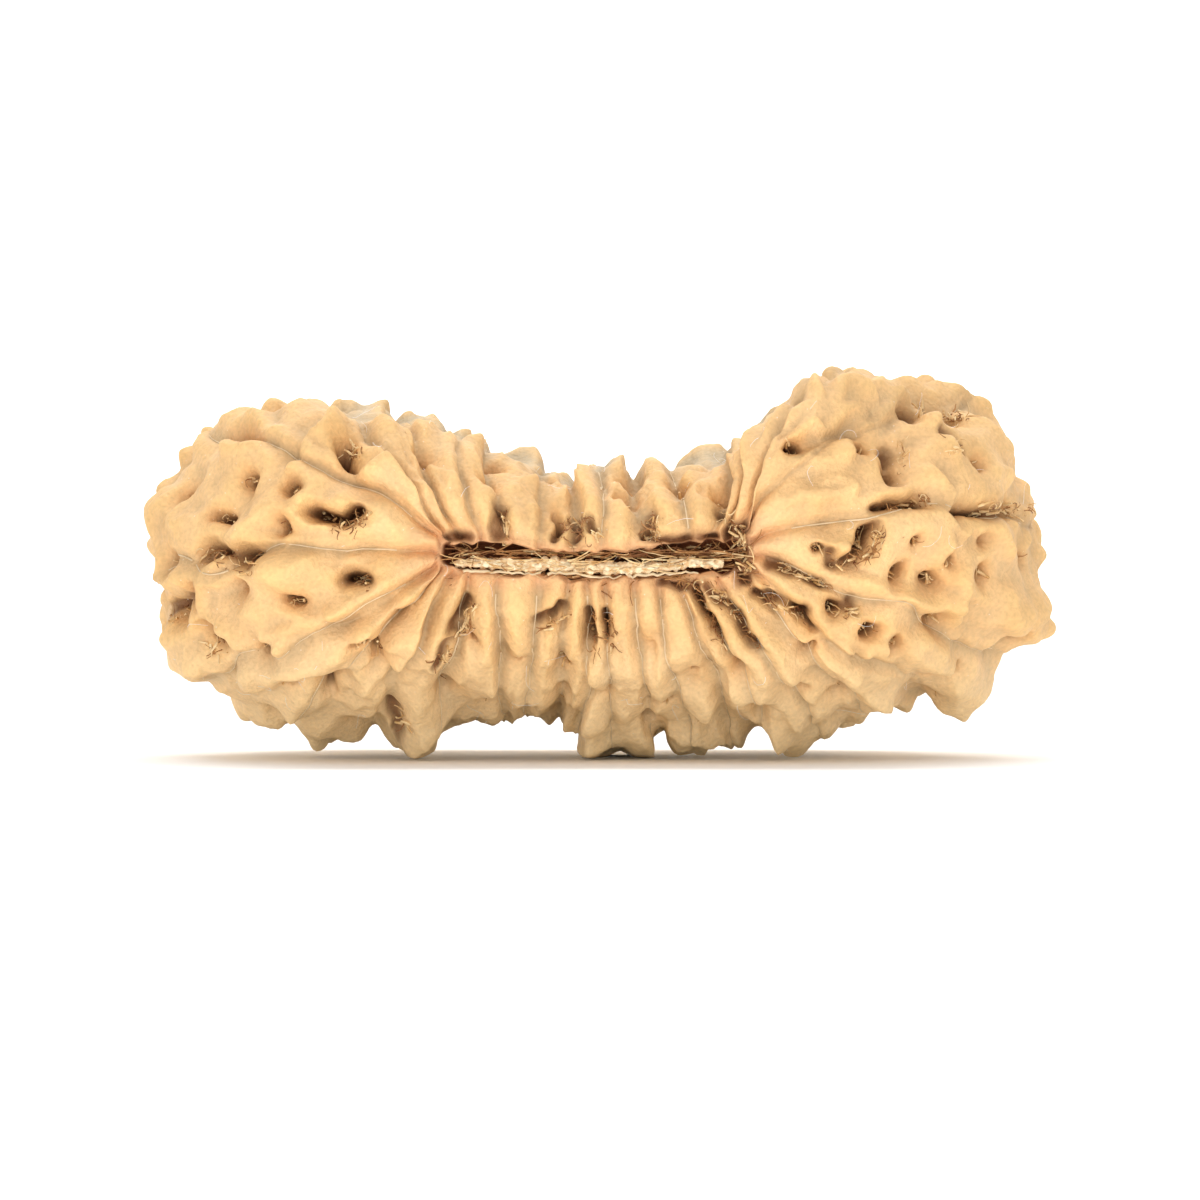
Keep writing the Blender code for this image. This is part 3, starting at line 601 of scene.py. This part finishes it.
mesh.vertices.foreach_set("co", closed_round(points))
for name, values in fields.items():
    layer = mesh.attributes.new(name, "FLOAT", "POINT")
    layer.data.foreach_set("value", closed_round(values).astype(np.float32))
bpy.ops.object.mode_set(mode="EDIT")
bpy.ops.mesh.select_all(action="SELECT")
bpy.ops.mesh.remove_doubles(threshold=0.0000005)
bpy.ops.mesh.normals_make_consistent(inside=False)
bpy.ops.object.mode_set(mode="OBJECT")

# Flat stretches of the fine grid are thinned to what one piece may hold.
TRIANGLES = 196000
thin = stone.modifiers.new("thin", "DECIMATE")
thin.ratio = TRIANGLES / (2 * COLUMNS * (RINGS - 1))
bpy.ops.object.modifier_apply(modifier=thin.name)
bpy.ops.object.shade_smooth()


def paint(hex_colour):
    """An sRGB colour such as e8c08a as the linear colour that a shader takes."""
    values = [int(hex_colour[at : at + 2], 16) / 255 for at in (0, 2, 4)]
    return (*[v / 12.92 if v <= 0.04045 else ((v + 0.055) / 1.055) ** 2.4 for v in values], 1)


def add(tree, kind, settings, inputs):
    """A node of this kind with its settings; inputs take a value or another node's output."""
    made = tree.nodes.new("ShaderNode" + kind)
    for name, value in settings.items():
        setattr(made, name, value)
    for socket, value in inputs.items():
        if isinstance(value, bpy.types.NodeSocket):
            tree.links.new(value, made.inputs[socket])
        else:
            made.inputs[socket].default_value = value
    return made


def per_mm(size):
    """The scale of a texture on Object coordinates whose features are this many millimetres apart."""
    return 1000 / size


# Dry bead wood: the hard, close-grained wall of the stone, brushed clean and left unoiled. It is matt with a
# faint sheen. Its colours carry painted light: a painted highlight where it stands proud, painted shade in
# the hollows and nests, and orange round the pits that is partly its own tone and partly painted shade.
# A Mix node of colours takes its amount at 0 and the colours at 6 and 7, and gives the result at 2. A
# MapRange node takes what it maps from at 1 and 2, and what it maps to at 3 and 4.
wood = bpy.data.materials.new("dry_unoiled_bead_wood")
wood.use_nodes = True
tree = wood.node_tree
tree.nodes.clear()
place = add(tree, "TexCoord", {}, {}).outputs["Object"]
masks = {name: add(tree, "Attribute", {"attribute_name": name}, {}).outputs["Fac"] for name in fields}
# The colour drifts over a few millimetres. The grain is that of bundles of wood cells, about 0.2 mm across.
patches = add(tree, "TexNoise", {}, {"Vector": place, "Scale": per_mm(3.5), "Detail": 3.0}).outputs["Fac"]
grain = add(tree, "TexNoise", {}, {"Vector": place, "Scale": per_mm(0.18), "Detail": 5.0}).outputs["Fac"]


def tint(under, mask, strength, hex_colour):
    """Colour over the one under it where the mask is high."""
    amount = add(tree, "Math", {"operation": "MULTIPLY", "use_clamp": True}, {0: mask, 1: strength})
    mixed = add(tree, "Mix", {"data_type": "RGBA"}, {0: amount.outputs[0], 6: under, 7: paint(hex_colour)})
    return mixed.outputs[2]


patch = add(tree, "MapRange", {}, {"Value": patches, 1: 0.35, 2: 0.65}).outputs[0]
plain = add(tree, "Mix", {"data_type": "RGBA"}, {0: patch, 6: paint("deb37c"), 7: paint("ecc28c")}).outputs[2]
# Painted shade over the upper waist, greyer and darker.
colour = tint(plain, masks["upper_waist_shade"], 0.8, "bbae94")
# Painted shade in the hollows.
colour = tint(colour, masks["low"], 0.75, "bda17a")
# Painted highlight on the crests.
colour = tint(colour, masks["proud"], 0.7, "f0c484")
# Warmer orange round the pits, partly the wood's tone and partly painted shade.
colour = tint(colour, masks["near_pit"], 0.45, "d69c60")
colour = tint(colour, masks["lips"], 0.5, "e2a078")
# Painted shade along the furrows.
colour = tint(colour, masks["furrow"], 0.35, "a58763")
# Painted light under the bead: the low side paler.
colour = tint(colour, masks["underside_light"], 0.8, "ffe4b4")
# Painted shade, dark brown, in the nests of dried flesh.
colour = tint(colour, masks["nest_shade"], 0.85, "744725")
# Painted shade in the pits, darkest at their bottoms.
pit_shade_amount = add(tree, "MapRange", {}, {"Value": masks["pit"], 1: 0.3, 2: 0.85}).outputs[0]
colour = tint(colour, pit_shade_amount, 1.0, "6b3f20")
# Painted shade in the slit's groove.
colour = tint(colour, masks["groove"], 1.0, "7a4528")
speckle = add(tree, "MapRange", {}, {"Value": grain, 1: 0.3, 2: 0.7, 3: 0.9, 4: 1.08}).outputs[0]
darken = {"data_type": "RGBA", "blend_type": "MULTIPLY"}
colour = add(tree, "Mix", darken, {0: 1.0, 6: colour, 7: speckle}).outputs[2]
# Pale specks lie about half a millimetre apart, in patches: partly dust and partly painted glints.
cells = add(tree, "TexVoronoi", {}, {"Vector": place, "Scale": per_mm(0.5)}).outputs["Distance"]
dust_and_glints = add(tree, "MapRange", {}, {"Value": cells, 1: 0.08, 2: 0.05}).outputs[0]
dust_and_glints = add(tree, "Math", {"operation": "MULTIPLY"}, {0: dust_and_glints, 1: patch}).outputs[0]
colour = tint(colour, dust_and_glints, 0.5, "fff4e0")
rough = add(tree, "MapRange", {}, {"Value": grain, 3: 0.5, 4: 0.72}).outputs[0]
bump = add(tree, "Bump", {}, {"Height": grain, "Strength": 0.7, "Distance": 0.00011}).outputs["Normal"]
look = {"Base Color": colour, "Roughness": rough, "Normal": bump, "Specular IOR Level": 0.25}
surface = add(tree, "BsdfPrincipled", {}, look)
add(tree, "OutputMaterial", {}, {"Surface": surface.outputs[0]})
mesh.materials.append(wood)

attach(stone, "root")
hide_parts("rudraksha_bead")


# What is left of the fruit's flesh: dry fibres, straw coloured or brown, curled up in the pits and furrows.
# They were torn short when the stone was cleaned, and some stand out of the pits as stubs. Lengths and half
# thicknesses are in millimetres.
MM = 0.001
STUB_SHARE = 0.35
STUB_LENGTHS, STUB_HALVES = (0.35, 0.6), (0.045, 0.085)
CURL_LENGTHS, CURL_HALVES = (0.3, 0.75), (0.016, 0.036)
FRONT_PIT_STRANDS, PIT_STRANDS = 9, 4
strands = {"straw": [], "brown": [], "thread": [], "hair": []}

front = np.nonzero((along < 0.5) & (from_pole > 1))[0]
front_plane = points[front][:, ::2]


def seen_at(x, y):
    """The number of the front's grid point that is seen at a pixel."""
    return front[np.argmin(((front_plane - front_view((x, y)) * to_metres) ** 2).sum(axis=1))]


def at_depth(x, y, depth):
    """The point in metres that is seen at a pixel and lies at this depth."""
    right, up = front_view((x, y)) * to_metres
    return Vector((right, depth, up))


def any_way():
    """A heading that may point anywhere."""
    return np.array([draw.gauss(0, 1) for _ in range(3)])


def wander(start, heading, length, bend, count=7):
    """Points along a strand that starts in a heading and curls by about the bend at each step."""
    path = [Vector(start)]
    heading = Vector(heading).normalized()
    axis = Vector(any_way()).normalized()
    for _ in range(count - 1):
        heading.rotate(Quaternion(axis, draw.gauss(bend, 0.15 + abs(bend) / 2)))
        path.append(path[-1] + heading * length / (count - 1))
    return path


def tuft(index, lift, straw_share, combed=(0, 0, 0)):
    """One strand at its lift over a grid point, combed one way: a stub, or a thin curl."""
    normal = normals[index]
    start = points[index] + normal * lift * MM
    loose = any_way() + np.array(combed)
    straw = draw.random() < straw_share
    if straw and draw.random() < STUB_SHARE:
        path = wander(start, loose * 0.6 + normal, draw.uniform(*STUB_LENGTHS) * MM, 0.1, 4)
        strands["straw"].append((path, draw.uniform(*STUB_HALVES)))
    else:
        path = wander(start, loose + 0.15 * normal, draw.uniform(*CURL_LENGTHS) * MM, draw.uniform(0.2, 0.7))
        strands["straw" if straw else "brown"].append((path, draw.uniform(*CURL_HALVES)))


for number, floor in enumerate(pit_floors):
    floor = floor[carved[floor] > 0.6]
    for _ in range(FRONT_PIT_STRANDS if number < len(PITS) else PIT_STRANDS):
        if len(floor):
            index = floor[draw.randrange(len(floor))]
            tuft(index, draw.uniform(0.25, 0.85) * PIT_DEPTH * carved[index], 0.7)
for x0, y0, x1, y1, half_width, count, straw_share in NESTS:
    for _ in range(count):
        share = draw.random()
        x = x0 + share * (x1 - x0) + draw.gauss(0, half_width / 2)
        y = y0 + share * (y1 - y0) + draw.gauss(0, half_width / 2)
        combed = np.array((x1 - x0, 0, y0 - y1)) / (math.hypot(x1 - x0, y1 - y0) + 1) * draw.choice((-2, 2))
        tuft(seen_at(x, y), draw.uniform(-0.15, 0.15), straw_share, combed)

# The middle line of the tongue in the slit, in pixels.
TONGUE = ((457, 558), (500, 559), (530, 561), (570, 560), (603, 565), (635, 563), (680, 560), (722, 559))


def tongue_row(x):
    """The photograph's row of the tongue's middle line at a column."""
    return np.interp(x, *np.array(TONGUE, float).T)


# Dried flesh packs the slit on both sides of its tongue, in these rows of pixels, and is combed along it. At
# the slit's right end, past the tongue, it fills the whole groove.
SLIT_STRANDS, SLIT_STRAW_SHARE = 330, 0.25
SLIT_DEPTHS, SLIT_LENGTHS, SLIT_HALVES = (0.35, 0.9), (0.5, 2.0), (0.02, 0.045)
ROWS_ABOVE, ROWS_BELOW, ROWS_AT_THE_END = (546, 554), (570, 576), (545, 573)
PAST_THE_TONGUE = SLIT_RIGHT - 16
lip_y = points[from_pole == slit_rings + 1][:, 1].min()
for _ in range(SLIT_STRANDS):
    x = draw.uniform(SLIT_LEFT - 2, SLIT_RIGHT + 2)
    rows = ROWS_ABOVE if draw.random() < 0.5 else ROWS_BELOW
    y = draw.uniform(*rows)
    if x > PAST_THE_TONGUE:
        y = draw.uniform(*ROWS_AT_THE_END)
    start = at_depth(x, y, lip_y + draw.uniform(*SLIT_DEPTHS) * MM)
    heading = (draw.choice((-1, 1)), draw.gauss(0, 0.12), draw.gauss(0, 0.1))
    path = wander(start, heading, draw.uniform(*SLIT_LENGTHS) * MM, draw.uniform(0.0, 0.2), 9)
    kind = "straw" if draw.random() < SLIT_STRAW_SHARE else "brown"
    strands[kind].append((path, draw.uniform(*SLIT_HALVES)))

# Loosened strands of the torn edge lie along the tongue.
TONGUE_STRANDS = 60
LOOSE_DEPTHS, LOOSE_LENGTHS, LOOSE_HALVES = (-0.1, 0.15), (0.5, 1.8), (0.018, 0.04)
for _ in range(TONGUE_STRANDS):
    x = draw.uniform(SLIT_LEFT + 12, SLIT_RIGHT - 30)
    y = tongue_row(x) + draw.gauss(0, 3.5)
    start = at_depth(x, y, lip_y + draw.uniform(*LOOSE_DEPTHS) * MM)
    heading = (draw.choice((-1, 1)), draw.gauss(0, 0.05), draw.gauss(0, 0.06))
    path = wander(start, heading, draw.uniform(*LOOSE_LENGTHS) * MM, draw.gauss(0, 0.05), 9)
    strands["straw"].append((path, draw.uniform(*LOOSE_HALVES)))

# A second, thinner strip of the torn edge lies a few pixels under the first. It is broken in two places.
STRIPS = ((466, 545), (549, 622), (628, 700))
STRIP_BELOW, STRIP_HALF = 8, 0.07
for strip_start, strip_end in STRIPS:
    path = []
    for x in range(strip_start, strip_end, 4):
        y = tongue_row(x) + draw.gauss(STRIP_BELOW, 0.7)
        path.append(at_depth(x, y, lip_y + draw.uniform(-0.05, 0.1) * MM))
    strands["thread"].append((path, STRIP_HALF))

# Along these furrows runs the thin pale edge of the wall between two seeds. It is broken here and there.
THREAD_HALVES = (0.03, 0.05)
THREAD_LIFT = 0.03
BREAK_SHARE = 0.05
THREADED = (1, 2, 3, 4, 6, 7, 8, 10, 11, 12, 13, 14, 15, 16, 17, 19, 20, 25, 27)
wandering_grid = as_grid(wandering)[:, :, 0]
points_grid, normals_grid = as_grid(points), as_grid(normals)
for furrow in THREADED:
    path = []
    for row in range(slit_rings + 14, RINGS // 2 - 4, 3):
        off = np.abs(wandering_grid[row - 2 : row + 3] - (furrow - 1))
        columns = np.argmin(np.minimum(off, len(FURROWS) - off), axis=1)
        bottom = points_grid[np.arange(row - 2, row + 3), columns].mean(axis=0)
        path.append(Vector(bottom + normals_grid[row, columns[2]] * THREAD_LIFT * MM))
        if draw.random() < BREAK_SHARE:
            strands["thread"].append((path, draw.uniform(*THREAD_HALVES)))
            path = []
    strands["thread"].append((path, draw.uniform(*THREAD_HALVES)))

# Fine white hairs cling to the front all over.
HAIRS, HAIR_HALF = 90, 0.008
HAIR_LIFT, HAIR_LENGTHS = 0.1, (0.6, 1.7)
for _ in range(HAIRS):
    index = front[draw.randrange(len(front))]
    start = points[index] + normals[index] * HAIR_LIFT * MM
    loose = any_way()
    path = wander(start, loose, draw.uniform(*HAIR_LENGTHS) * MM, 0.3, 10)
    strands["hair"].append((path, HAIR_HALF))


def fibre_piece(name, paths, material):
    """One mesh of thin tapering strands; their half thickness is in millimetres."""
    bpy.ops.object.select_all(action="DESELECT")
    bpy.ops.curve.primitive_bezier_curve_add(location=(0, 0, 0))
    piece = bpy.context.object
    piece.name = name
    piece.data.splines.clear()
    piece.data.bevel_depth = MM
    piece.data.bevel_resolution = 0
    piece.data.use_fill_caps = True
    for path, half in paths:
        if len(path) < 3:
            continue
        spline = piece.data.splines.new("POLY")
        spline.points.add(len(path) - 1)
        # No strand reaches into the surface that the bead rests on.
        kept_up = [(point.x, point.y, max(point.z, half * MM), 1) for point in path]
        spline.points.foreach_set("co", [value for point in kept_up for value in point])
        taper = [half * (1 - 0.5 * step / len(path)) for step in range(len(path))]
        spline.points.foreach_set("radius", taper)
    bpy.ops.object.convert(target="MESH")
    bpy.ops.object.shade_smooth()
    piece.data.materials.append(material)
    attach(piece, "root")


def fibre_material(name, dark, light, size, roughness):
    """Dry fibre whose colour drifts between two tones over this many millimetres."""
    made = bpy.data.materials.new(name)
    made.use_nodes = True
    tree = made.node_tree
    place = add(tree, "TexCoord", {}, {}).outputs["Object"]
    drift = add(tree, "TexNoise", {}, {"Vector": place, "Scale": per_mm(size), "Detail": 2.0}).outputs["Fac"]
    drift = add(tree, "MapRange", {}, {"Value": drift, 1: 0.35, 2: 0.65}).outputs[0]
    colour = add(tree, "Mix", {"data_type": "RGBA"}, {0: drift, 6: paint(dark), 7: paint(light)}).outputs[2]
    shader = tree.nodes["Principled BSDF"]
    tree.links.new(colour, shader.inputs["Base Color"])
    shader.inputs["Roughness"].default_value = roughness
    return made


# Bast fibre, torn and dried in the air: straw where it is clean, brown where the flesh dried on it, and paler
# in the thin edges of the seeds' walls. All of it is matt. The hairs are white cotton lint with a soft sheen.
straw_bast = fibre_material("straw_bast", "d0a264", "f4d8a4", 0.5, 0.6)
fibre_piece("straw_fibres", strands["straw"], straw_bast)
brown_bast = fibre_material("brown_bast", "7c4c26", "bd8850", 0.5, 0.7)
fibre_piece("brown_fibres", strands["brown"], brown_bast)
wall_edge = fibre_material("pale_wall_edge", "cdb48e", "ead3ac", 1.0, 0.7)
fibre_piece("furrow_threads", strands["thread"], wall_edge)
lint = fibre_material("white_lint", "e8e4da", "ffffff", 1.0, 0.6)
fibre_piece("clinging_hairs", strands["hair"], lint)


# The tongue in the slit: the torn edge of the wall through the stone's middle. It grew in one with the stone
# and is a ragged strip of pale fibre along the slit, with dried flesh packed on both sides.
TONGUE_LENGTH, TONGUE_HALF_WIDTH, TONGUE_HALF_DEPTH, TONGUE_SINK = 11, 0.25, 0.5, -0.1
bpy.ops.object.select_all(action="DESELECT")
bpy.ops.mesh.primitive_grid_add(x_subdivisions=300, y_subdivisions=20, size=2)
tongue = bpy.context.object
tongue.name = "slit_tongue"
sheet = np.empty(len(tongue.data.vertices) * 3)
tongue.data.vertices.foreach_get("co", sheet)
sheet = sheet.reshape(-1, 3)
way = (sheet[:, 0] + 1) / 2
angle = sheet[:, 1] * math.pi
column = TONGUE[0][0] + way * (TONGUE[-1][0] - TONGUE[0][0])
right, up = front_view(np.stack([column, tongue_row(column)], axis=1)).T
thin_end = np.sin(way * math.pi).clip(0, 1) ** 0.25
gone = way * TONGUE_LENGTH
ragged = 1 + 0.5 * swirl(np.stack([gone, 0 * way, 0 * way], axis=1), 0.35)[:, 0]
frayed = 0.14 * swirl(np.stack([gone, np.cos(angle) * 0.4, np.sin(angle) * 0.4], axis=1), 0.2)
sway = 0.12 * swirl(np.stack([gone, 0 * way + 5, 0 * way], axis=1), 0.8)[:, 1]
cleft = 1 - 0.35 * np.exp(-(((np.abs(angle + math.pi / 2) - 0.25) / 0.2) ** 2))
body = np.stack([
    right + frayed[:, 0],
    TONGUE_HALF_DEPTH * np.sin(angle) * thin_end * cleft + frayed[:, 1],
    up + sway + TONGUE_HALF_WIDTH * np.cos(angle) * thin_end * ragged + frayed[:, 2],
], axis=1)
body *= to_metres
body[:, 1] += lip_y + TONGUE_SINK * MM + TONGUE_HALF_DEPTH * MM
for end in (way < 0.001, way > 0.999):
    body[end] = body[end].mean(axis=0)
tongue.data.vertices.foreach_set("co", body.ravel())
bpy.ops.object.mode_set(mode="EDIT")
bpy.ops.mesh.select_all(action="SELECT")
bpy.ops.mesh.remove_doubles(threshold=0.000004)
bpy.ops.mesh.normals_make_consistent(inside=False)
bpy.ops.object.mode_set(mode="OBJECT")
bpy.ops.object.shade_smooth()

# Torn end grain of the wall: short pale fibres side by side, matt, drifting between pale and yellower tones.
tongue.data.materials.append(fibre_material("torn_wall_edge", "e0b682", "ffeec8", 0.25, 0.7))
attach(tongue, "root")


# The surface it lies on, and the backdrop: one sheet of white card, which lies flat under the bead and curves
# up behind it, so that no edge shows.
CARD_SIZE, BACK_HEIGHT, CURVE_RADIUS = 3, 2, 0.8
bpy.ops.object.select_all(action="DESELECT")
bpy.ops.mesh.primitive_plane_add(size=CARD_SIZE, location=(0, 0, 0))
card = bpy.context.object
card.name = "white_card"
bpy.ops.object.mode_set(mode="EDIT")
bpy.ops.mesh.select_all(action="DESELECT")
bpy.ops.object.mode_set(mode="OBJECT")
for edge in card.data.edges:
    edge.select = all(card.data.vertices[index].co.y > 1 for index in edge.vertices)
bpy.ops.object.mode_set(mode="EDIT")
bpy.ops.mesh.select_mode(type="EDGE")
bpy.ops.mesh.extrude_region_move(TRANSFORM_OT_translate={"value": (0, 0, BACK_HEIGHT)})
bpy.ops.object.mode_set(mode="OBJECT")
curve_up = card.modifiers.new("curve_up", "BEVEL")
curve_up.width = CURVE_RADIUS
curve_up.segments = 24
curve_up.limit_method = "ANGLE"
bpy.ops.object.modifier_apply(modifier=curve_up.name)
bpy.ops.object.shade_smooth()

# Uncoated white card: it scatters all light alike and shows no glint.
card_white = bpy.data.materials.new("matt_white_card")
card_white.use_nodes = True
card_white.node_tree.nodes["Principled BSDF"].inputs["Base Color"].default_value = paint("fbfbfa")
card_white.node_tree.nodes["Principled BSDF"].inputs["Roughness"].default_value = 0.9
card.data.materials.append(card_white)


# Soft light: a white room, a wide lamp over the camera and a smaller one from the left. A low lamp in front
# and a faint panel on the table fill the shade under the bead, and the last lamp keeps the backdrop white.
world = bpy.data.worlds.new("white_room")
bpy.context.scene.world = world
world.use_nodes = True
world.node_tree.nodes["Background"].inputs["Color"].default_value = (1, 1, 1, 1)
world.node_tree.nodes["Background"].inputs["Strength"].default_value = 0.58
for name, where, towards, size, watts in (
    ("overhead_softbox", (0.04, -0.24, 0.36), (0, 0, 0), 0.3, 0.27),
    ("left_softbox", (-0.3, -0.3, 0.12), (0, 0, 0), 0.2, 0.17),
    ("low_front_fill", (0.03, -0.6, 0.03), (0, 0, 0), 0.3, 0.93),
    ("panel_on_the_table", (0, -0.047, 0.0005), (0, -0.047, 1), 0.064, 0.012),
    ("backdrop_lamp", (0, 0.5, 1.1), (0, 1.4, 0.2), 1.0, 22),
):
    bpy.ops.object.light_add(type="AREA", location=where)
    lamp = bpy.context.object
    lamp.name = name
    lamp.data.size = size
    lamp.visible_camera = False
    lamp.data.energy = watts
    lamp.rotation_euler = (Vector(towards) - Vector(where)).to_track_quat("-Z", "Y").to_euler()


# The camera looks along the slit's axis from 60 cm, a little from above, and frames what the photograph does.
PIXEL_IN_METRES = (box_high[0] - box_low[0]) / BEAD_PIXELS
DISTANCE = 0.6
SENSOR_WIDTH = 36
looking_down = math.radians(1.5)
aim = Vector((0, 0, (RESTING_ROW - PHOTO_SIZE / 2) * PIXEL_IN_METRES))
backwards = Vector((0, -math.cos(looking_down), math.sin(looking_down)))
bpy.ops.object.camera_add(location=aim + backwards * DISTANCE)
camera = bpy.context.object
camera.name = "front_camera"
camera.rotation_euler = (-backwards).to_track_quat("-Z", "Y").to_euler()
camera.data.sensor_width = SENSOR_WIDTH
camera.data.lens = SENSOR_WIDTH * DISTANCE / (PHOTO_SIZE * PIXEL_IN_METRES)
camera.data.clip_start = 0.01
bpy.context.scene.camera = camera
bpy.context.scene.view_settings.view_transform = "Standard"
